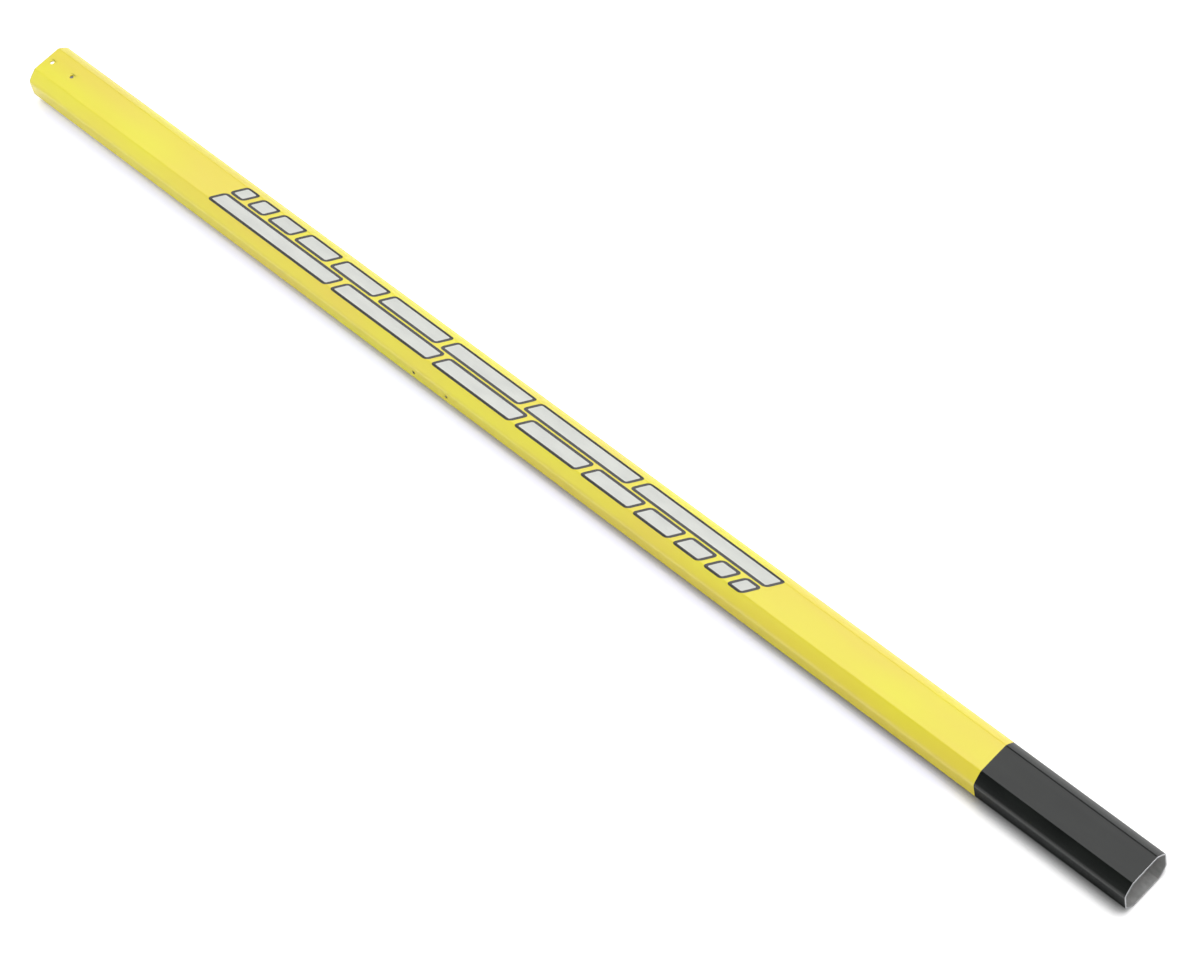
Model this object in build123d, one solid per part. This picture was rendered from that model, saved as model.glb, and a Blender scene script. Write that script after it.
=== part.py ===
from build123d import *
import os

# Tail boom of a large model helicopter: one drawn aluminium tube, open at both ends.
# Its section is wider than it is high: flats at the top, the bottom and both sides, joined by crowned shoulders.
# The tube lies along X on its bottom flat. +X is the end that the frame clamps, -X is the tail end.
# The origin is on the bottom flat, under the middle of the tube. All sizes are in millimetres and degrees.

# Tube
tube_length = 805.0
section_width = 31.0
section_height = 23.5
wall = 1.0
end_edge_break = 0.15

# Turn from the top flat to the side flat, as three tangent arcs: a corner, the shoulder and a corner
flat_corner_radius = 1.6
flat_corner_turn = 35.0
shoulder_radius = 30.0
shoulder_turn = 12.0
side_corner_radius = 4.3

# Two screw holes in the top flat, for the tail rotor gearbox
tail_hole_radius = 1.25
tail_hole_setback = 5.0
tail_hole_spacing = 17.0

# Two screw holes in one side flat, for the clip of a pushrod guide
side_hole_radius = 1.1
side_hole_setback = 315.0
side_hole_spacing = 25.0


def shoulder_arcs():
    """Three tangent arcs down from the top flat's edge to the side flat's edge, in place on the section."""
    side_corner_turn = 90 - flat_corner_turn - shoulder_turn
    flat_corner = JernArc((0, 0), (1, 0), flat_corner_radius, -flat_corner_turn)
    shoulder = JernArc(flat_corner @ 1, flat_corner % 1, shoulder_radius, -shoulder_turn)
    side_corner = JernArc(shoulder @ 1, shoulder % 1, side_corner_radius, -side_corner_turn)
    flat_edge = section_width / 2 - (side_corner @ 1).X
    return Pos(flat_edge, section_height / 2) * Curve([flat_corner, shoulder, side_corner])


def section_outline():
    """Outer section, centred: the right half with its side flat, its mirror image, and the two flats between."""
    upper = shoulder_arcs()
    lower = mirror(upper, about=Plane.XZ)
    flat_edge = upper.vertices().sort_by(Axis.X)[0]
    side_edge = upper.vertices().sort_by(Axis.Y)[0]
    side_flat = Line((side_edge.X, side_edge.Y), (side_edge.X, -side_edge.Y))
    right_half = upper.edges() + lower.edges() + [side_flat.edge()]
    left_half = [mirror(edge, about=Plane.YZ) for edge in right_half]
    top_flat = Line((-flat_edge.X, flat_edge.Y), (flat_edge.X, flat_edge.Y))
    bottom_flat = Line((-flat_edge.X, -flat_edge.Y), (flat_edge.X, -flat_edge.Y))
    return make_face([*right_half, *left_half, top_flat.edge(), bottom_flat.edge()])


def drawn_tube():
    """Section with its hollow, drawn along X, lifted onto its bottom flat, its cut ends deburred."""
    outer = section_outline()
    hollow = offset(outer, amount=-wall)
    tail_cut = Plane(origin=(-tube_length / 2, 0, section_height / 2), x_dir=(0, 1, 0), z_dir=(1, 0, 0))
    tube = extrude(tail_cut * (outer - hollow), amount=tube_length, dir=(1, 0, 0))
    cut_edges = tube.faces().filter_by(Axis.X).edges()
    return chamfer(cut_edges, end_edge_break)


def screw_holes(flat, radius, spacing):
    """Two drills in line along the tube, square to a flat and through that wall alone."""
    drill = Cylinder(radius, 4 * wall)
    return flat * GridLocations(spacing, spacing, 2, 1) * drill


def boom_tube():
    """Whole tube, with the holes at the tail end and in the side."""
    tail_end = -tube_length / 2
    tail_x = tail_end + tail_hole_setback + tail_hole_spacing / 2
    side_x = tail_end + side_hole_setback + side_hole_spacing / 2
    top_flat = Plane(origin=(tail_x, 0, section_height), z_dir=(0, 0, 1))
    side_flat = Plane(origin=(side_x, -section_width / 2, section_height / 2), x_dir=(1, 0, 0), z_dir=(0, -1, 0))
    tube = drawn_tube()
    tube -= screw_holes(top_flat, tail_hole_radius, tail_hole_spacing)
    tube -= screw_holes(side_flat, side_hole_radius, side_hole_spacing)
    return tube


os.makedirs("parts", exist_ok=True)
export_step(boom_tube(), "parts/boom_tube.step")
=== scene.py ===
import logging
from dataclasses import dataclass, field
from enum import Enum

import bpy
import numpy as np
from mathutils import Matrix, Vector


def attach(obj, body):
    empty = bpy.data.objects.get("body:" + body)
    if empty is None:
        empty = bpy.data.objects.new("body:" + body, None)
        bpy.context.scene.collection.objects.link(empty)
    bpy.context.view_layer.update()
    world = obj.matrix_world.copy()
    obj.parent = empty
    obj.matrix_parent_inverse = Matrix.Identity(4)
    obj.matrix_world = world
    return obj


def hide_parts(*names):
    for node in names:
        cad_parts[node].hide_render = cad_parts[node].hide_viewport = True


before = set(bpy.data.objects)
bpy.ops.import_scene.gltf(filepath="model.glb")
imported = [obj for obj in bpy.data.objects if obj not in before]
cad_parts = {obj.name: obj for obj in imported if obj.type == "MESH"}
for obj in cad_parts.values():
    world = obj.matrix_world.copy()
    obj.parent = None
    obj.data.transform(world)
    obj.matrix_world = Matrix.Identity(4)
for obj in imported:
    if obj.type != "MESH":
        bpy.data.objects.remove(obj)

# Looks of a model helicopter's tail boom: a drawn aluminium tube, enamelled yellow, and black anodised where
# it is clamped. Shapes are worked out in millimetres in three numbers: x along the tube, s round its section
# and d, the depth under the outer surface. They are turned to the frame's metres when a mesh is made.

Pair = tuple[float, float]
Triple = tuple[float, float, float]
Array = np.ndarray
Arrays = tuple[Array, Array]
Socket = bpy.types.NodeSocket
Piece = bpy.types.Object

MM = 0.001
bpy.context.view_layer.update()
log = logging.getLogger("tail_boom")


class Slot(Enum):
    """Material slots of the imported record."""

    YELLOW = "yellow_paint"
    BLACK = "black_anodised"
    BARE = "bare_aluminium"
    SILVER = "silver_print"
    DARK = "dark_print"


def linear(hex_colour: str) -> tuple[float, float, float, float]:
    """Turns an sRGB hex colour to linear: c / 12.92 up to 0.04045, else ((c + 0.055) / 1.055) to the 2.4.

    Args:
        hex_colour: Six hex digits after a hash.

    Returns:
        Linear red, green and blue, and an alpha of 1.
    """
    coded = np.array([int(hex_colour[i:i + 2], 16) for i in (1, 3, 5)]) / 255
    light = np.where(coded <= 0.04045, coded / 12.92, ((coded + 0.055) / 1.055) ** 2.4)
    return (*light.tolist(), 1.0)


@dataclass(frozen=True)
class Section:
    """Outer section of the tube, in mm and degrees: four flats joined by crowned shoulders.

    From the top flat the wall turns at a corner, then gently over the shoulder, then at a second corner into
    the side flat. The other three quarters mirror the first.
    """

    width: float = 31.0
    height: float = 23.5
    corner_radius: float = 1.6
    corner_turn: float = 35.0
    shoulder_radius: float = 30.0
    shoulder_turn: float = 12.0
    side_radius: float = 4.3

    def quarter(self) -> Arrays:
        """Lengths and curvatures of a quarter, from the middle of the top flat to that of the side flat.

        An arc of radius r from turn a to turn b moves r (sin b - sin a) across and r (cos a - cos b) down.
        What that leaves of half the width and half the height is flat.

        Returns:
            Length of each of the five stretches in mm, and its curvature per mm.
        """
        turns = np.radians([self.corner_turn, self.shoulder_turn, 90 - self.corner_turn - self.shoulder_turn])
        radii = np.array([self.corner_radius, self.shoulder_radius, self.side_radius])
        end = np.cumsum(turns)
        start = end - turns
        half_top = self.width / 2 - np.sum(radii * (np.sin(end) - np.sin(start)))
        half_side = self.height / 2 - np.sum(radii * (np.cos(start) - np.cos(end)))
        return np.array([half_top, *radii * turns, half_side]), np.array([0, *1 / radii, 0])

    def stretches(self) -> Arrays:
        """Start of each stretch round the whole section, with the total at the end, and the curvatures.

        Returns:
            Arc lengths in mm, and curvatures per mm.
        """
        length, curve = self.quarter()
        length = np.concatenate([length, length[::-1]] * 2)
        curve = np.concatenate([curve, curve[::-1]] * 2)
        return np.concatenate([[0.0], np.cumsum(length)]), curve

    def perimeter(self) -> float:
        """Length once round the outer surface."""
        return float(self.stretches()[0][-1])

    def points(self, s: Array, depth: Array) -> Arrays:
        """Places in the section plane: the outer line at arc length s, moved inwards by the depth.

        Along a stretch of curvature k the turn is t = t0 + k u, and the line moves by the integral of (cos t,
        -sin t). That is (sin t - sin t0) / k across and (cos t0 - cos t) / k down, or straight on where k is
        0. The outward normal is (sin t, cos t).

        Args:
            s: Arc length from the middle of the top flat, growing towards +Y, any number of times round.
            depth: Depth under the outer surface, under the smallest radius.

        Returns:
            y, and z above the bottom flat.
        """
        start, curve = self.stretches()
        length = np.diff(start)
        turn = np.concatenate([[0.0], np.cumsum(curve * length)])
        safe = np.where(curve > 0, curve, 1.0)

        def moved(index: Array, along: Array) -> tuple[Array, Array, Array]:
            """Moves across and down after a length along each stretch, and the turn reached.

            Args:
                index: Number of each stretch.
                along: Length along it in mm.

            Returns:
                Both moves in mm, and the turn in radians.
            """
            first = turn[index]
            last = first + curve[index] * along
            bent = curve[index] > 0
            across = np.where(bent, (np.sin(last) - np.sin(first)) / safe[index], along * np.cos(first))
            down = np.where(bent, (np.cos(first) - np.cos(last)) / safe[index], along * np.sin(first))
            return across, down, last

        each = np.arange(len(curve))
        across, down, _ = moved(each, length)
        y0 = np.concatenate([[0.0], np.cumsum(across)[:-1]])
        z0 = self.height - np.concatenate([[0.0], np.cumsum(down)[:-1]])
        place = np.mod(s, start[-1])
        index = np.clip(np.searchsorted(start, place, side="right") - 1, 0, len(curve) - 1)
        across, down, last = moved(index, place - start[index])
        return y0[index] + across - depth * np.sin(last), z0[index] - down - depth * np.cos(last)

    def lines(self, fixed: Array, facet: float = 3.0, step: float = 2.4, hold: float = 0.2) -> Array:
        """Arc lengths of the mesh lines round the section, from the middle of the bottom flat.

        Args:
            fixed: Lines that have to be there, between half a perimeter each way.
            facet: Largest turn of a facet on an arc, in degrees.
            step: Widest facet on a flat.
            hold: Distance of the line on a flat that keeps its shading flat up to the corner.

        Returns:
            Sorted arc lengths, from minus half the perimeter, without the line that closes it.
        """
        start, curve = self.stretches()
        half = start[-1] / 2
        parts = [fixed]
        for first, last, bend in zip(start[:-1], start[1:], curve):
            if bend > 0:
                count = int(np.ceil(np.degrees((last - first) * bend) / facet))
                parts.append(np.linspace(first, last, count + 1))
            else:
                parts.append(np.array([first, last, min(first + hold, last), max(last - hold, first)]))
        where = np.concatenate(parts)
        where = np.where(where > half, where - 2 * half, where)
        return filled(np.append(where, [-half, half]), step)[:-1]


def filled(fixed: Array, step: float, least: float = 0.01) -> Array:
    """Fixed values in order, with evenly spaced ones between those that are further apart than a step.

    Args:
        fixed: Values that have to be there.
        step: Widest gap that is left.
        least: Values nearer to each other than this are one.

    Returns:
        Sorted values.
    """
    fixed = np.sort(fixed)
    fixed = fixed[np.concatenate([[True], np.diff(fixed) > least])]
    parts = [np.linspace(low, high, int(np.ceil((high - low) / step)) + 1)[:-1]
             for low, high in zip(fixed[:-1], fixed[1:])]
    return np.append(np.concatenate(parts), fixed[-1])


def ring_quads(rows: int, columns: int, closed: bool = True) -> Array:
    """Quads of a grid whose columns close on themselves, and its rows too if closed.

    A quad's normal is the row direction crossed with the column direction.

    Args:
        rows: Number of rows of vertices.
        columns: Number of columns of vertices.
        closed: Whether the last row joins the first.

    Returns:
        Vertex numbers, rows by columns by 4.
    """
    row, column = np.meshgrid(np.arange(rows if closed else rows - 1), np.arange(columns), indexing="ij")
    after, beside = (row + 1) % rows, (column + 1) % columns
    corners = [row * columns + column, after * columns + column, after * columns + beside,
               row * columns + beside]
    return np.stack(corners, axis=-1)


def quad_object(name: str, points: Array, quads: Array, crease: float = 35.0) -> Piece:
    """Makes a smooth-shaded mesh object of quads and drops the vertices that no quad uses.

    Args:
        name: Object and mesh name.
        points: Vertices in mm, one row each.
        quads: Vertex numbers, one row of 4 each.
        crease: Edges that turn by more than this many degrees are sharp.

    Returns:
        The object, at the origin.
    """
    used, corners = np.unique(quads.ravel(), return_inverse=True)
    mesh = bpy.data.meshes.new(name)
    mesh.vertices.add(len(used))
    mesh.vertices.foreach_set("co", (points[used] * MM).astype(np.float32).ravel())
    mesh.loops.add(corners.size)
    mesh.loops.foreach_set("vertex_index", corners.ravel().astype(np.int32))
    mesh.polygons.add(corners.size // 4)
    mesh.polygons.foreach_set("loop_start", np.arange(0, corners.size, 4, dtype=np.int32))
    mesh.update(calc_edges=True)
    mesh.validate()
    mesh.shade_smooth()
    mesh.set_sharp_from_angle(angle=np.radians(crease))
    piece = bpy.data.objects.new(name, mesh)
    bpy.context.scene.collection.objects.link(piece)
    return piece


@dataclass(frozen=True)
class Hole:
    """A round screw hole in a flat: its centre along and round the tube, and its radius.

    The square patch about it is twice the patch size wide. A coat may line the hole, down to a depth.
    """

    x: float
    s: float
    radius: float
    patch: float
    lining: float = 0.0
    cells: int = 12

    def lines(self, centre: float) -> Array:
        """Mesh lines across the patch, about a centre."""
        return centre + np.linspace(-self.patch, self.patch, self.cells + 1)

    def square(self) -> Array:
        """Border of the patch, anticlockwise from its low corner.

        Returns:
            x and s of each vertex.
        """
        side, part = np.divmod(np.arange(4 * self.cells), self.cells)
        part = part / self.cells * 2 - 1
        one = np.ones_like(part)
        x = np.choose(side, [part, one, -part, -one]) * self.patch
        s = np.choose(side, [-one, part, one, -part]) * self.patch
        return np.column_stack([self.x + x, self.s + s])

    def circle(self, radius: float) -> Array:
        """Circle about the centre with a vertex for each one of the square, as x and s of each vertex."""
        angle = -0.75 * np.pi + 2 * np.pi * np.arange(4 * self.cells) / (4 * self.cells)
        return np.column_stack([self.x + radius * np.cos(angle), self.s + radius * np.sin(angle)])


@dataclass(frozen=True)
class Sleeve:
    """A closed shell round the section, between two depths, with deburred ends and holes.

    Its cut through the wall is a loop in x and d: along the outer surface, round the front rim, back along
    the inner surface and round the tail rim. The loop is carried once round the section. On a surface, the
    mesh blends from the square patch of a hole to a collar round its rim.
    """

    section: Section
    tail: float
    front: float
    outer: float
    inner: float
    edge: float
    holes: tuple[Hole, ...]
    film: float = 0.07
    step: float = 16.0
    edge_steps: int = 4
    widest_rim: float = 0.1
    collar: float = 1.6
    blends: tuple[float, ...] = (0.35, 0.7, 1.0)

    def x_lines(self) -> Array:
        """Mesh lines along the tube, with a close pair at each end and the lines of the hole patches."""
        low, high = self.tail + self.edge, self.front - self.edge
        ends = [low, low + self.edge, high - self.edge, high]
        return filled(np.concatenate([ends, *[hole.lines(hole.x) for hole in self.holes]]), self.step)

    def loop(self, x: Array) -> Arrays:
        """Loop through the wall: straight runs at both depths, quarter circles at the corners.

        Args:
            x: Mesh lines along the tube.

        Returns:
            x and depth of each point of the loop.
        """
        e = self.edge
        q = np.linspace(0, np.pi / 2, self.edge_steps + 1)
        hold = min(e, (self.inner - self.outer - 2 * e) / 3)
        near, far = self.outer + e + hold, self.inner - e - hold
        loop_x = [x, self.front - e + e * np.sin(q[1:]), [self.front] * 2,
                  self.front - e + e * np.cos(q[:-1]), x[::-1], self.tail + e - e * np.sin(q[1:]),
                  [self.tail] * 2, self.tail + e - e * np.cos(q[:-1])]
        loop_d = [np.full_like(x, self.outer), self.outer + e - e * np.cos(q[1:]), [near, far],
                  self.inner - e + e * np.sin(q[:-1]), np.full_like(x, self.inner),
                  self.inner - e + e * np.cos(q[1:]), [far, near], self.outer + e - e * np.sin(q[:-1])]
        return np.concatenate(loop_x), np.concatenate(loop_d)

    def well(self, hole: Hole) -> Arrays:
        """Rings that lead from the square patch on the outer surface down the hole to the one on the inner.

        Each ring on a surface is a blend of the square and the collar, a circle a little wider than the hole.
        The rims are quarter circles. A lining goes down the hole, across its film and up to the underside.

        Args:
            hole: The hole.

        Returns:
            x and s of each vertex, ring by ring, and the depth of each ring.
        """
        e = min(self.edge, self.widest_rim)
        q = np.linspace(0, np.pi / 2, self.edge_steps + 1)
        square, collar = hole.square(), hole.circle(hole.radius + self.collar * e)
        above = [square + (collar - square) * blend for blend in self.blends]
        rim = [hole.circle(hole.radius + e - e * np.sin(turn)) for turn in q]
        rim_depths = self.outer + e - e * np.cos(q)
        lower, lower_depths = rim[::-1], self.inner - (rim_depths - self.outer)[::-1]
        if hole.lining:
            behind = hole.circle(hole.radius + self.film)
            collar = hole.circle(hole.radius + self.film + self.collar * e)
            lower, lower_depths = [rim[-1], behind, behind], [hole.lining, hole.lining, self.inner]
        below = [square + (collar - square) * blend for blend in self.blends[::-1]]
        depths = np.concatenate([[self.outer] * len(above), rim_depths, lower_depths,
                                 [self.inner] * len(below)])
        return np.stack([*above, *rim, *lower, *below]), depths

    def build(self, name: str) -> Piece:
        """Builds the shell: the loop carried round, its quads over each hole swapped for the hole's rings.

        Args:
            name: Piece name.

        Returns:
            The object.
        """
        x = self.x_lines()
        s = self.section.lines(np.concatenate([[0.0], *[hole.lines(hole.s) for hole in self.holes]]))
        loop_x, loop_d = self.loop(x)
        rows, columns = len(loop_x), len(s)
        grid_x, grid_s = np.meshgrid(loop_x, s, indexing="ij")
        places = [np.column_stack([grid_x.ravel(), grid_s.ravel(), np.repeat(loop_d, columns)])]
        quads = ring_quads(rows, columns)
        kept = np.ones((rows, columns), bool)
        patches = []
        count = rows * columns
        inner_row = rows - len(x) - 2 * self.edge_steps - 2
        for hole in self.holes:
            i = int(np.argmin(np.abs(x - (hole.x - hole.patch))))
            j = int(np.argmin(np.abs(s - (hole.s - hole.patch))))
            n = hole.cells
            first = inner_row + len(x) - 1 - i
            kept[i:i + n, j:j + n] = False
            kept[first - n:first, j:j + n] = False
            side, part = np.divmod(np.arange(4 * n), n)
            along = np.choose(side, [part, np.full_like(part, n), n - part, np.zeros_like(part)])
            round_it = np.choose(side, [np.zeros_like(part), part, np.full_like(part, n), n - part])
            rings, depths = self.well(hole)
            numbers = count + np.arange(len(depths) * 4 * n).reshape(len(depths), 4 * n)
            numbers = np.vstack([(i + along) * columns + j + round_it, numbers,
                                 (first - along) * columns + j + round_it])
            strip = ring_quads(len(numbers), 4 * n, closed=False)
            patches.append(numbers.ravel()[strip][..., ::-1].reshape(-1, 4))
            places.append(np.column_stack([rings.reshape(-1, 2), np.repeat(depths, 4 * n)]))
            count += len(depths) * 4 * n
        place = np.vstack(places)
        y, z = self.section.points(place[:, 1], place[:, 2])
        return quad_object(name, np.column_stack([place[:, 0], y, z]), np.vstack([quads[kept], *patches]))


@dataclass(frozen=True)
class Bar:
    """One slanted bar of the print: its middle along and round the tube, and half its length and width."""

    x: float
    s: float
    half_length: float
    half_width: float


@dataclass(frozen=True)
class BarPrint:
    """Two lanes of slanted silver bars with a dark outline, on the top flat.

    In one lane the bars grow towards the clamped end, and in the other they shrink.
    """

    section: Section
    tail: float
    first_bar: float = 156.0
    bar_lengths: tuple[float, ...] = (7.0, 10.0, 15.0, 22.0, 31.0, 42.0, 56.0, 72.0, 92.0)
    lane_centre: float = 5.2
    bar_width: float = 6.6
    gap: float = 6.6
    slant: float = 0.7
    corner: float = 0.8
    outline: float = 1.5
    tuck: float = 0.2
    silver_top: float = 0.03
    outline_top: float = 0.02
    underside: float = 0.07
    plate_lift: float = 0.01

    def bars(self) -> list[Bar]:
        """Bars of both lanes, laid end to end with the gap between them.

        Returns:
            The bars.
        """
        placed = []
        for lane, lengths in ((1, self.bar_lengths), (-1, self.bar_lengths[::-1])):
            ends = np.cumsum(np.array(lengths) + self.gap)
            middles = self.tail + self.first_bar + ends - self.gap - np.array(lengths) / 2
            placed += [Bar(x, lane * self.lane_centre, length / 2, self.bar_width / 2)
                       for x, length in zip(middles, lengths)]
        return placed

    def placed(self, bar: Bar, along: Array, across: Array, depth: Array) -> Array:
        """Puts points of a bar on the tube: x is slanted by the distance from the middle line.

        Args:
            bar: The bar.
            along: Distance from the bar's middle along the tube.
            across: Distance from the bar's middle round the tube.
            depth: Depth under the outer surface.

        Returns:
            Vertices in mm, one row each.
        """
        s = bar.s + across
        y, z = self.section.points(s, depth)
        return np.column_stack([bar.x + along + self.slant * s, y, z])

    def outline_ring(self, bar: Bar, arc: int = 6, long_side: int = 4, short_side: int = 8,
                     across: int = 4) -> Arrays:
        """Flat ring round a bar: a rounded loop, swept through a cut from its inner to its outer edge.

        The loop is the set of corner centres plus a radius in the outward direction. The radius grows from
        the inner to the outer edge, and more along x than across, which keeps the slanted strokes as wide.

        Args:
            bar: The bar.
            arc: Facets of a corner.
            long_side: Facets of a side that runs along the tube.
            short_side: Facets of a slanted side.
            across: Facets over the width of the ring.

        Returns:
            Vertices in mm and quads.
        """
        a, b = bar.half_length - self.corner, bar.half_width - self.corner
        corners = np.array([[a, -b], [a, b], [-a, b], [-a, -b]])
        centres, angles = [], []
        for turn, (corner, after) in enumerate(zip(corners, np.roll(corners, -1, axis=0))):
            facets = short_side if turn % 2 == 0 else long_side
            start = (turn - 1) * np.pi / 2
            centres += [np.repeat(corner[None], arc, axis=0),
                        corner + (after - corner) * (np.arange(facets) / facets)[:, None]]
            angles += [start + np.pi / 2 * np.arange(arc) / arc, np.full(facets, start + np.pi / 2)]
        centre, angle = np.vstack(centres), np.concatenate(angles)
        widths = np.linspace(0, self.outline, across + 1)
        cut_width = np.concatenate([widths, widths[::-1]])
        cut_depth = np.repeat([self.outline_top, self.underside], across + 1)
        stretch = np.hypot(1, self.slant)
        reach = self.corner + cut_width[:, None] * np.array([stretch, 1.0])
        direction = np.column_stack([np.cos(angle), np.sin(angle)])
        loop = centre[None] + direction[None] * reach[:, None, :]
        depth = np.repeat(cut_depth, len(angle))
        points = self.placed(bar, loop[..., 0].ravel(), loop[..., 1].ravel(), depth)
        return points, ring_quads(len(cut_width), len(angle)).reshape(-1, 4)

    def silver_plate(self, bar: Bar, rows: int = 16, columns: int = 7) -> Arrays:
        """Closed thin plate inside an outline, tucked a little under it.

        A row across the bar is as long as the rounded rectangle is there. Half of it is a - r +
        sqrt(r^2 - h^2), where h is how far the row is into the corner.

        Args:
            bar: The bar.
            rows: Rows across the bar.
            columns: Points along each row.

        Returns:
            Vertices in mm and quads.
        """
        half_length, half_width = bar.half_length + self.tuck, bar.half_width + self.tuck
        radius = self.corner + self.tuck
        across = -half_width * np.cos(np.linspace(0, np.pi, rows))
        into = np.clip(np.abs(across) - (half_width - radius), 0, radius)
        reach = half_length - radius + np.sqrt(radius ** 2 - into ** 2)
        there = np.linspace(-1, 1, columns)
        loop = np.concatenate([there, there[::-1]])
        depth = np.repeat([self.silver_top, self.underside - self.plate_lift], columns)
        along = loop[:, None] * reach[None]
        points = self.placed(bar, along.ravel(), np.tile(across, len(loop)), np.repeat(depth, rows))
        sides = np.swapaxes(ring_quads(len(loop), rows), 0, 1)[:-1].reshape(-1, 4)
        column = np.arange(columns - 1)
        under = 2 * columns - 1 - column
        low = np.column_stack([column, under, under - 1, column + 1]) * rows
        high = low[:, ::-1] + rows - 1
        return points, np.vstack([sides, low, high])

    def build(self, name: str, shapes: list[Arrays]) -> Piece:
        """Joins the shapes into one piece.

        Args:
            name: Piece name.
            shapes: Vertices and quads of each shape.

        Returns:
            The object.
        """
        shift = np.cumsum([0] + [len(points) for points, _ in shapes[:-1]])
        quads = np.vstack([quads + start for (_, quads), start in zip(shapes, shift)])
        return quad_object(name, np.vstack([points for points, _ in shapes]), quads)


class ShaderTree:
    """Node tree of a new material or of the world, built node by node."""

    def __init__(self, tree: bpy.types.NodeTree) -> None:
        """Starts from an empty tree."""
        self.tree = tree
        tree.nodes.clear()

    def add(self, kind: str, inputs: dict[str | int, object] | None = None,
            **settings: object) -> bpy.types.Node:
        """Adds one node.

        Args:
            kind: Blender's node type.
            inputs: Input sockets by name or number, each with a value or the socket that feeds it.
            settings: Properties of the node.

        Returns:
            The node.
        """
        node = self.tree.nodes.new(kind)
        for key, value in settings.items():
            setattr(node, key, value)
        for key, value in (inputs or {}).items():
            if isinstance(value, Socket):
                self.tree.links.new(value, node.inputs[key])
            else:
                node.inputs[key].default_value = value
        return node


@dataclass(frozen=True)
class Grain:
    """A cloudy pattern in the piece's own coordinates: noise with a cell of a size along x, y and z, in mm.

    The detail is its number of finer layers. Its value is about 0.5, and mostly between the two limits.
    """

    size: Triple
    detail: float
    limits: Pair = (0.3, 0.7)

    def value(self, shader: ShaderTree) -> Socket:
        """The value itself.

        Args:
            shader: Tree that it goes into.

        Returns:
            Socket with it.
        """
        place = shader.add("ShaderNodeTexCoord")
        cells = tuple(1 / (length * MM) for length in self.size)
        mapped = shader.add("ShaderNodeMapping", {"Vector": place.outputs["Object"], "Scale": cells})
        pattern = {"Vector": mapped.outputs[0], "Scale": 1.0, "Detail": self.detail}
        return shader.add("ShaderNodeTexNoise", pattern).outputs[0]

    def number(self, shader: ShaderTree, low: float, high: float) -> Socket:
        """A number that drifts in the clouds.

        Args:
            shader: Tree that it goes into.
            low: Number at the lower limit.
            high: Number at the upper limit.

        Returns:
            Socket with the number.
        """
        spread = {"Value": self.value(shader), "From Min": self.limits[0], "From Max": self.limits[1],
                  "To Min": low, "To Max": high}
        return shader.add("ShaderNodeMapRange", spread).outputs[0]

    def colour(self, shader: ShaderTree, low: str, high: str) -> Socket:
        """A colour that drifts in the clouds, likewise from a low hex colour to a high one."""
        mixed = {"Factor": self.number(shader, 0.0, 1.0), 6: linear(low), 7: linear(high)}
        return shader.add("ShaderNodeMix", mixed, data_type="RGBA").outputs[2]


def beyond(shader: ShaderTree, axis: str, start: float, end: float, both: bool = True, ragged: float = 0.0,
           bays: Grain = Grain((1.4, 1.4, 1.4), 2.0)) -> Socket:
    """How far a place is beyond a start, in the piece's own coordinates: 0 up to there, 1 from the end on.

    Args:
        shader: Tree that it goes into.
        axis: X, Y or Z.
        start: Where it starts, in mm.
        end: Where it ends, in mm.
        both: Whether it is the same on both sides of the middle.
        ragged: How far the border wanders in mm.
        bays: Pattern that it wanders by.

    Returns:
        Socket with the value.
    """
    place = shader.add("ShaderNodeTexCoord")
    value = shader.add("ShaderNodeSeparateXYZ", {0: place.outputs["Object"]}).outputs[axis]
    if both:
        value = shader.add("ShaderNodeMath", {0: value}, operation="ABSOLUTE").outputs[0]
    if ragged:
        wander = {0: bays.value(shader), 1: 2 * ragged * MM, 2: value}
        value = shader.add("ShaderNodeMath", wander, operation="MULTIPLY_ADD").outputs[0]
    limits = {"Value": value, "From Min": (start + ragged) * MM, "From Max": (end + ragged) * MM}
    return shader.add("ShaderNodeMapRange", limits).outputs[0]


def highest(shader: ShaderTree, value: Socket, *others: Socket) -> Socket:
    """The highest of several values.

    Args:
        shader: Tree that it goes into.
        value: The first value.
        others: The others.

    Returns:
        Socket with the highest.
    """
    for other in others:
        value = shader.add("ShaderNodeMath", {0: value, 1: other}, operation="MAXIMUM").outputs[0]
    return value


@dataclass(frozen=True)
class Finish:
    """A named material. Each kind of finish builds its own surface."""

    name: str

    def surface(self, shader: ShaderTree) -> Socket:
        """Builds the nodes of the surface.

        Args:
            shader: Tree that it goes into.

        Returns:
            Its shader socket.
        """
        raise NotImplementedError

    def skin(self, shader: ShaderTree, relief: Socket, height: float, inputs: dict[str, object]) -> Socket:
        """Builds a principled surface with a bump.

        Args:
            shader: Tree that it goes into.
            relief: Height of the bump, from 0 to 1.
            height: How high 1 is, in mm.
            inputs: Its other inputs.

        Returns:
            Its shader socket.
        """
        bump = shader.add("ShaderNodeBump", {"Height": relief, "Strength": 1.0, "Distance": height * MM})
        return shader.add("ShaderNodeBsdfPrincipled", {**inputs, "Normal": bump.outputs[0]}).outputs[0]

    def material(self) -> bpy.types.Material:
        """Builds the material.

        Returns:
            The material.
        """
        material = bpy.data.materials.new(self.name)
        material.use_nodes = True
        shader = ShaderTree(material.node_tree)
        shader.add("ShaderNodeOutputMaterial", {"Surface": self.surface(shader)})
        return material


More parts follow.
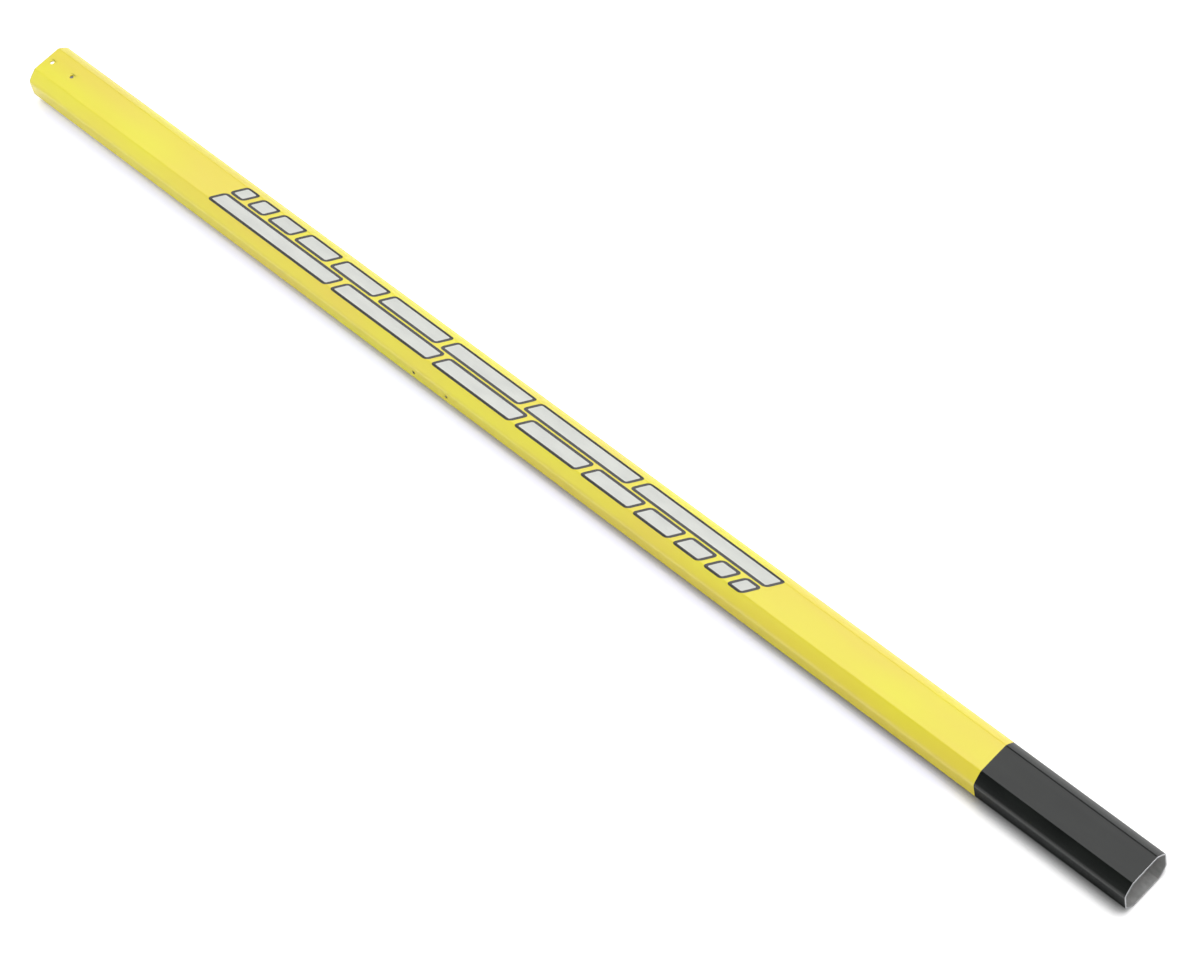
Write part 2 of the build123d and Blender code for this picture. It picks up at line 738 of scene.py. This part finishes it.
@dataclass(frozen=True)
class StovedEnamel(Finish):
    """Gloss enamel, sprayed on and stoved.

    It gives the eye a lemon yellow that drifts warmer and cooler along the tube, as the passes of a spray gun
    do, under a gloss that a faint orange peel softens. At the sawn end the coat is thin and paler.
    """

    name: str = "stoved_yellow_enamel"
    lemon: str = "#f1e83e"
    warm: str = "#f0dd4c"
    thin: str = "#c9c08a"
    ior: float = 1.5
    roughness: Pair = (0.22, 0.26)
    drift: Grain = Grain((95.0, 26.0, 26.0), 1.0, (0.36, 0.64))
    spray: Grain = Grain((34.0, 16.0, 16.0), 0.0)
    peel: Grain = Grain((1.7, 1.7, 1.7), 1.5)
    peel_height: float = 0.008
    thin_from: float = 401.85
    thin_to: float = 402.35
    thin_ragged: float = 0.3

    def surface(self, shader: ShaderTree) -> Socket:
        """Builds the surface: two yellows in slow clouds, roughness in sprayed ones, orange peel as bump.

        Args:
            shader: Tree that it goes into.

        Returns:
            Its shader socket.
        """
        yellow = self.drift.colour(shader, self.lemon, self.warm)
        sawn = beyond(shader, "X", self.thin_from, self.thin_to, ragged=self.thin_ragged)
        coat = shader.add("ShaderNodeMix", {"Factor": sawn, 6: yellow, 7: linear(self.thin)},
                          data_type="RGBA")
        gloss = self.spray.number(shader, *self.roughness)
        return self.skin(shader, self.peel.value(shader), self.peel_height,
                         {"Base Color": coat.outputs[2], "Roughness": gloss, "IOR": self.ior})


@dataclass(frozen=True)
class DyedAnodise(Finish):
    """Drawn aluminium, etched, anodised and dyed black.

    It gives the eye a satin black with a faint green-grey cast, under a hard clear skin that mirrors the room
    softly, and lines along the tube that the die left. Real die lines are about 0.2 mm apart. They are drawn
    at 0.7 mm.
    """

    name: str = "black_dyed_anodised_aluminium"
    dye: str = "#0b0f0d"
    pale: str = "#151916"
    ior: float = 1.41
    roughness: Pair = (0.16, 0.22)
    lines: Grain = Grain((90.0, 0.7, 0.7), 2.0)
    line_height: float = 0.0015
    clouds: Grain = Grain((22.0, 9.0, 9.0), 2.0)

    def surface(self, shader: ShaderTree) -> Socket:
        """Builds the surface: die lines as bump and gloss, dye a little uneven in clouds.

        Args:
            shader: Tree that it goes into.

        Returns:
            Its shader socket.
        """
        black = self.clouds.colour(shader, self.dye, self.pale)
        gloss = self.lines.number(shader, *self.roughness)
        return self.skin(shader, self.lines.value(shader), self.line_height,
                         {"Base Color": black, "Roughness": gloss, "IOR": self.ior})


@dataclass(frozen=True)
class MillAluminium(Finish):
    """Bare aluminium: dull and blotched with oxide as drawn, bright where the saw and the blade cut.

    It gives the eye a flat grey hollow with soft lines along it, inside a thin bright rim with marks across
    it. The oxide skin mirrors less than clean metal, so it is not all metallic.
    """

    name: str = "mill_finish_aluminium"
    oxide: str = "#adadac"
    drawn: str = "#bcbcbb"
    cut: str = "#b6b7b9"
    metallic: float = 0.7
    inside_roughness: Pair = (0.72, 0.55)
    cut_roughness: float = 0.38
    blotches: Grain = Grain((5.0, 3.5, 3.5), 3.0, (0.33, 0.67))
    lines: Grain = Grain((60.0, 0.6, 0.6), 2.0)
    saw_marks: Grain = Grain((0.25, 6.0, 0.35), 1.0)
    mark_height: float = 0.006
    rim_from: float = 402.2
    rim_to: float = 402.3

    def surface(self, shader: ShaderTree) -> Socket:
        """Builds the surface: oxide clouds and die lines inside, saw marks on the bright rims.

        Args:
            shader: Tree that it goes into.

        Returns:
            Its shader socket.
        """
        rim = beyond(shader, "X", self.rim_from, self.rim_to)
        inside = self.blotches.colour(shader, self.oxide, self.drawn)
        colour = shader.add("ShaderNodeMix", {"Factor": rim, 6: inside, 7: linear(self.cut)},
                            data_type="RGBA")
        dull = self.blotches.number(shader, *self.inside_roughness)
        rough = shader.add("ShaderNodeMix", {"Factor": rim, 2: dull, 3: self.cut_roughness},
                           data_type="FLOAT")
        marks = shader.add("ShaderNodeMix", {"Factor": rim, 2: self.lines.value(shader),
                                             3: self.saw_marks.value(shader)}, data_type="FLOAT")
        return self.skin(shader, marks.outputs[0], self.mark_height,
                         {"Base Color": colour.outputs[2], "Metallic": self.metallic,
                          "Roughness": rough.outputs[0]})


@dataclass(frozen=True)
class ScreenInk(Finish):
    """Two-part ink, pulled through a mesh onto the enamel and stoved again.

    It gives the eye a flat satin colour that is a little denser in places, with the grain that the mesh
    leaves. A real mesh has threads about 0.1 mm apart. Its grain is drawn at 0.6 mm.
    """

    name: str
    full: str
    lean: str
    roughness: Pair
    ior: float = 1.5
    mesh: Grain = Grain((0.6, 0.6, 0.6), 1.0)
    mesh_height: float = 0.006
    density: Grain = Grain((16.0, 5.0, 5.0), 3.0)

    def surface(self, shader: ShaderTree) -> Socket:
        """Builds the surface: full and lean ink in clouds, mesh grain as bump and gloss.

        Args:
            shader: Tree that it goes into.

        Returns:
            Its shader socket.
        """
        ink = self.density.colour(shader, self.full, self.lean)
        gloss = self.mesh.number(shader, *self.roughness)
        return self.skin(shader, self.mesh.value(shader), self.mesh_height,
                         {"Base Color": ink, "Roughness": gloss, "IOR": self.ior})


@dataclass(frozen=True)
class WhiteCard(Finish):
    """Matt white card under the boom.

    It gives the eye a plain white with the boom's soft shadow on it: the lamps' own, deepened by painted
    shadow, a darker colour mixed in where ambient occlusion finds the boom near. The painted shadow is
    deepest beside the black end, which throws no light back. A little light of its own, for the camera,
    mirrors and glass alone, keeps it white, and fades in the painted shadow. It grows away from the boom,
    where the lamps don't reach.
    Close beside the paint the camera sees a cooler white and a bluer glow, which take out the yellow that the
    paint throws there, and the boom mirrors a wider painted shadow than the camera sees. The photo's own
    white was balanced and brightened. Lengths are in mm from the middle. A pair is where a change starts and
    ends.
    """

    name: str = "matt_white_card"
    colour: str = "#f9f9f9"
    beside_paint: str = "#dadef9"
    beside_glow: tuple[float, float, float, float] = (0.95, 0.95, 1.1, 1.0)
    # Colours of the painted shadow: the card's colour goes to these near the boom, lighter at the tail, near
    # black by the clamped end.
    painted_shadow_tail: str = "#d2d0d8"
    painted_shadow_front: str = "#222325"
    boom_end: float = 402.0
    by_black: Pair = (282.5, 312.5)
    by_end: Pair = (390.0, 405.0)
    past_end: Pair = (399.0, 404.0)
    apart: Pair = (25.0, 60.0)
    # Reach of the ambient occlusion that drives the painted shadow, and the occlusion values where it is full
    # and where it ends.
    contact_tail: float = 4.5
    contact_front: float = 9.0
    contact_mirrored: float = 16.0
    contact_samples: int = 8
    sky_shut: float = 0.28
    sky_open: float = 0.76
    sky_open_by_black: float = 0.88
    mirrored_sky_shut: float = 0.7
    glow: float = 0.48
    far_glow: float = 0.9
    near: float = 600.0
    far: float = 2200.0

    def surface(self, shader: ShaderTree) -> Socket:
        """Builds the surface: a diffuse white and a glow that only camera, mirror and glass rays see.

        Near the boom the white is mixed to a painted shadow colour, and the glow fades there.

        Args:
            shader: Tree that it goes into.

        Returns:
            Its shader socket.
        """
        plain = self.plain(shader)
        outside_painted_shadow = self.outside_painted_shadow(shader)
        white = shader.add("ShaderNodeMix", {"Factor": plain, 6: linear(self.beside_paint),
                                             7: linear(self.colour)}, data_type="RGBA")
        beside = beyond(shader, "X", -self.boom_end, self.boom_end, both=False)
        # Painted shadow: the card's colour is mixed towards a darker one where ambient occlusion finds the
        # boom near.
        painted_shadow_colour = shader.add("ShaderNodeMix", {"Factor": beside, 6: linear(self.painted_shadow_tail),
                                              7: linear(self.painted_shadow_front)}, data_type="RGBA")
        shaded = shader.add("ShaderNodeMix", {"Factor": outside_painted_shadow, 6: painted_shadow_colour.outputs[2], 7: white.outputs[2]},
                            data_type="RGBA")
        card = shader.add("ShaderNodeBsdfDiffuse", {"Color": shaded.outputs[2]})
        path = shader.add("ShaderNodeLightPath").outputs
        seen = highest(shader, path["Is Camera Ray"], path["Is Glossy Ray"], path["Is Transmission Ray"])
        place = shader.add("ShaderNodeTexCoord")
        away = shader.add("ShaderNodeVectorMath", {0: place.outputs["Object"]}, operation="LENGTH")
        growing = {"Value": away.outputs["Value"], "From Min": self.near * MM, "From Max": self.far * MM,
                   "To Min": self.glow, "To Max": self.far_glow}
        strength = shader.add("ShaderNodeMapRange", growing, interpolation_type="SMOOTHSTEP")
        shown = shader.add("ShaderNodeMath", {0: seen, 1: strength.outputs[0]}, operation="MULTIPLY")
        # The glow fades in the painted shadow too.
        fading = shader.add("ShaderNodeMath", {0: shown.outputs[0], 1: outside_painted_shadow}, operation="MULTIPLY")
        tone = shader.add("ShaderNodeMix", {"Factor": plain, 6: self.beside_glow, 7: (1.0, 1.0, 1.0, 1.0)},
                          data_type="RGBA")
        glow = shader.add("ShaderNodeEmission", {"Color": tone.outputs[2], "Strength": fading.outputs[0]})
        return shader.add("ShaderNodeAddShader", {0: card.outputs[0], 1: glow.outputs[0]}).outputs[0]

    def outside_painted_shadow(self, shader: ShaderTree) -> Socket:
        """How far a place is outside the painted shadow, from 0 where the boom meets the card to 1, which
        diffuse rays always get.

        It is read from ambient occlusion. Mirror rays read a wider reach, so mirrors show a wider painted
        shadow.

        Args:
            shader: Tree that it goes into.

        Returns:
            Socket with the openness.
        """
        # Mask of the painted shadow on the card, from ambient occlusion.
        path = shader.add("ShaderNodeLightPath").outputs
        beside = beyond(shader, "X", -self.boom_end, self.boom_end, both=False)
        reach = shader.add("ShaderNodeMapRange", {"Value": beside, "To Min": self.contact_tail * MM,
                                                  "To Max": self.contact_front * MM})
        around = shader.add("ShaderNodeAmbientOcclusion", {"Distance": reach.outputs[0]},
                            samples=self.contact_samples)
        widest = shader.add("ShaderNodeMapRange", {"Value": beyond(shader, "X", *self.by_black, both=False),
                                                   "To Min": self.sky_open,
                                                   "To Max": self.sky_open_by_black})
        sky = shader.add("ShaderNodeMapRange", {"Value": around.outputs["AO"], "From Min": self.sky_shut,
                                                "From Max": widest.outputs[0]})
        seen = highest(shader, sky.outputs[0], beyond(shader, "X", *self.past_end))
        wider = shader.add("ShaderNodeAmbientOcclusion", {"Distance": self.contact_mirrored * MM},
                           samples=self.contact_samples)
        mirrored = shader.add("ShaderNodeMapRange", {"Value": wider.outputs["AO"],
                                                     "From Min": self.mirrored_sky_shut})
        either = shader.add("ShaderNodeMix", {"Factor": path["Is Glossy Ray"], 2: seen,
                                              3: mirrored.outputs[0]}, data_type="FLOAT")
        return highest(shader, either.outputs[0], path["Is Diffuse Ray"])

    def plain(self, shader: ShaderTree) -> Socket:
        """How plain the white is: 0 close beside the paint, and 1 elsewhere and for all but camera rays.

        Args:
            shader: Tree that it goes into.

        Returns:
            Socket with the plainness.
        """
        path = shader.add("ShaderNodeLightPath").outputs
        unseen = shader.add("ShaderNodeMath", {0: 1.0, 1: path["Is Camera Ray"]}, operation="SUBTRACT")
        return highest(shader, beyond(shader, "Y", *self.apart), beyond(shader, "X", *self.by_end),
                       beyond(shader, "X", *self.by_black, both=False), unseen.outputs[0])


@dataclass(frozen=True)
class Boom:
    """The tail boom: the tube, its two coats and the print on its top flat."""

    section: Section = field(default_factory=Section)
    length: float = 805.0
    wall: float = 1.0
    end_edge: float = 0.15
    tail_hole_radius: float = 1.25
    tail_hole_setback: float = 5.0
    tail_hole_spacing: float = 17.0
    side_hole_radius: float = 1.1
    side_hole_setback: float = 315.0
    side_hole_spacing: float = 25.0
    paint_length: float = 710.0
    paint_top: float = 0.05
    anodised_top: float = 0.1
    metal_top: float = 0.12
    coat_underside: float = 0.14
    paint_in_hole: float = 0.04
    paint_lining: float = 0.88
    paint_edge: float = 0.03
    anodised_edge: float = 0.012
    under_paint: float = 0.5
    tail_patch: float = 2.4
    side_patch: float = 2.2

    def tail(self) -> float:
        """x of the tail end."""
        return -self.length / 2

    def holes(self, margin: float = 0.0, lining: float = 0.0) -> tuple[Hole, ...]:
        """Screw holes in the top flat, which may be lined, and in the side flat towards -Y.

        Args:
            margin: How much wider their radius is than drilled.
            lining: Depth that the ones in the top flat are lined to.

        Returns:
            The holes.
        """
        side = -self.section.perimeter() / 4
        top_x = [self.tail() + self.tail_hole_setback + step * self.tail_hole_spacing for step in (0, 1)]
        side_x = [self.tail() + self.side_hole_setback + step * self.side_hole_spacing for step in (0, 1)]
        return (*[Hole(x, 0.0, self.tail_hole_radius + margin, self.tail_patch, lining) for x in top_x],
                *[Hole(x, side, self.side_hole_radius + margin, self.side_patch) for x in side_x])

    def tube(self) -> Piece:
        """Bare tube with its bore, rims and holes."""
        shell = Sleeve(self.section, self.tail(), -self.tail(), self.metal_top, self.wall, self.end_edge,
                       self.holes())
        return shell.build("bare_tube")

    def paint(self) -> Piece:
        """Coat of paint, from the tail end to the part that is clamped, and down the tail holes."""
        holes = self.holes(-self.paint_in_hole, self.paint_lining)
        shell = Sleeve(self.section, self.tail() + self.end_edge, self.tail() + self.paint_length,
                       self.paint_top, self.coat_underside, self.paint_edge, holes)
        return shell.build("paint_coat")

    def anodising(self) -> Piece:
        """Anodised layer at the clamped end, which runs a little way under the paint."""
        tail = self.tail() + self.paint_length - self.under_paint
        shell = Sleeve(self.section, tail, -self.tail() - self.end_edge, self.anodised_top,
                       self.coat_underside, self.anodised_edge, ())
        return shell.build("anodised_layer")


@dataclass(frozen=True)
class Softbox:
    """Rectangular lamp with an even white face, in metres. A radiance of 1 mirrors as white."""

    name: str
    place: Triple
    aim: Triple
    width: float
    height: float
    radiance: float

    def light(self) -> None:
        """Puts the lamp up. Its power is radiance times pi times area."""
        lamp = bpy.data.lights.new(self.name, "AREA")
        lamp.shape = "RECTANGLE"
        lamp.size = self.width
        lamp.size_y = self.height
        lamp.energy = self.radiance * np.pi * self.width * self.height
        box = bpy.data.objects.new(self.name, lamp)
        box.location = self.place
        box.rotation_euler = (Vector(self.aim) - Vector(self.place)).to_track_quat("-Z", "Y").to_euler()
        box.visible_camera = False
        bpy.context.scene.collection.objects.link(box)


@dataclass(frozen=True)
class Studio:
    """White card, softboxes and a room that is pale at the horizon and dim above, in metres."""

    softboxes: tuple[Softbox, ...] = (
        Softbox("overhead", (-0.48, 0.45, 1.6), (-0.48, 0.4, 0.0), 2.4, 1.0, 2.4),
        Softbox("key", (1.1, 0.55, 1.6), (0.1, 0.0, 0.0), 1.0, 1.0, 3.75),
        Softbox("far_side_fill", (0.9, 1.4, 0.7), (0.1, 0.0, 0.0), 1.4, 0.8, 1.2),
        Softbox("camera_side_fill", (1.3, -1.3, 0.5), (0.2, 0.0, 0.0), 1.2, 0.8, 1.0),
        Softbox("tail_side_fill", (-0.9, -0.8, 0.5), (-0.3, 0.0, 0.0), 1.1, 0.9, 1.1),
    )
    card_half_width: float = 12.0
    horizon: float = 1.0
    zenith: float = 0.12
    falloff: float = 3.0

    def card(self) -> None:
        """Lays the white card that the boom rests on."""
        w = self.card_half_width
        mesh = bpy.data.meshes.new("card")
        mesh.from_pydata([(-w, -w, 0), (w, -w, 0), (w, w, 0), (-w, w, 0)], [], [(0, 1, 2, 3)])
        mesh.materials.append(WhiteCard().material())
        floor = bpy.data.objects.new("card", mesh)
        bpy.context.scene.collection.objects.link(floor)

    def room(self) -> None:
        """Sets the world: zenith + (horizon - zenith) (1 - z) to the power of the falloff.

        Here z is the sine of the elevation.
        """
        world = bpy.data.worlds.new("studio")
        world.use_nodes = True
        bpy.context.scene.world = world
        shader = ShaderTree(world.node_tree)
        towards = shader.add("ShaderNodeTexCoord")
        split = shader.add("ShaderNodeSeparateXYZ", {0: towards.outputs["Generated"]})
        low = shader.add("ShaderNodeMapRange", {"Value": split.outputs["Z"], "To Min": 1.0, "To Max": 0.0})
        power = shader.add("ShaderNodeMath", {0: low.outputs[0], 1: self.falloff}, operation="POWER")
        level = shader.add("ShaderNodeMath", {0: power.outputs[0], 1: self.horizon - self.zenith,
                                              2: self.zenith}, operation="MULTIPLY_ADD")
        sky = shader.add("ShaderNodeBackground", {"Color": (1.0, 1.0, 1.0, 1.0),
                                                  "Strength": level.outputs[0]})
        shader.add("ShaderNodeOutputWorld", {"Surface": sky.outputs[0]})

    def build(self) -> None:
        """Builds the card, the room and the lamps, and sets the plain view transform."""
        self.card()
        self.room()
        for softbox in self.softboxes:
            softbox.light()
        bpy.context.scene.view_settings.view_transform = "Standard"


@dataclass(frozen=True)
class Viewpoint:
    """Camera at the photograph's viewing angle: place and aim in mm, roll in degrees, clipping in metres."""

    place: Triple = (987.2, -638.6, 1715.6)
    aim: Triple = (38.3, -1.3, 11.75)
    roll: float = -14.5
    lens: float = 118.52
    sensor: float = 36.0
    clip: Pair = (0.05, 50.0)

    def build(self) -> None:
        """Sets up the camera."""
        camera = bpy.data.cameras.new("camera")
        camera.sensor_fit = "HORIZONTAL"
        camera.sensor_width = self.sensor
        camera.lens = self.lens
        camera.clip_start, camera.clip_end = self.clip
        viewer = bpy.data.objects.new("camera", camera)
        place = Vector(self.place) * MM
        turn = (Vector(self.aim) * MM - place).to_track_quat("-Z", "Y").to_matrix()
        turn = turn @ Matrix.Rotation(np.radians(self.roll), 3, "Z")
        viewer.matrix_world = Matrix.Translation(place) @ turn.to_4x4()
        bpy.context.scene.collection.objects.link(viewer)
        bpy.context.scene.camera = viewer


def finish_piece(piece: Piece, slot: Slot, finish: Finish, *nodes: str) -> None:
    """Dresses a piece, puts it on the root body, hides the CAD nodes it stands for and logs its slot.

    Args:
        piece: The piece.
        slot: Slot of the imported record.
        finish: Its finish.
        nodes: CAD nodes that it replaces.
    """
    piece.data.materials.append(finish.material())
    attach(piece, "root")
    if nodes:
        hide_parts(*nodes)
    log.info("%s: %d faces, slot %s", piece.name, len(piece.data.polygons), slot.value)


def main() -> None:
    """Builds and dresses the boom, then the studio and the camera."""
    boom = Boom()
    finish_piece(boom.tube(), Slot.BARE, MillAluminium(), "boom_tube")
    finish_piece(boom.paint(), Slot.YELLOW, StovedEnamel())
    finish_piece(boom.anodising(), Slot.BLACK, DyedAnodise())
    bars = BarPrint(boom.section, boom.tail())
    outlines = [bars.outline_ring(bar) for bar in bars.bars()]
    plates = [bars.silver_plate(bar) for bar in bars.bars()]
    dark = ScreenInk("dark_grey_screen_ink", full="#383838", lean="#424141", roughness=(0.25, 0.35))
    silver = ScreenInk("silver_grey_screen_ink", full="#dcded8", lean="#d2d4cf", roughness=(0.27, 0.37))
    finish_piece(bars.build("print_outline", outlines), Slot.DARK, dark)
    finish_piece(bars.build("print_silver", plates), Slot.SILVER, silver)
    Studio().build()
    Viewpoint().build()


if __name__ == "__main__":
    logging.basicConfig(level=logging.INFO, format="%(name)s: %(message)s")
    main()
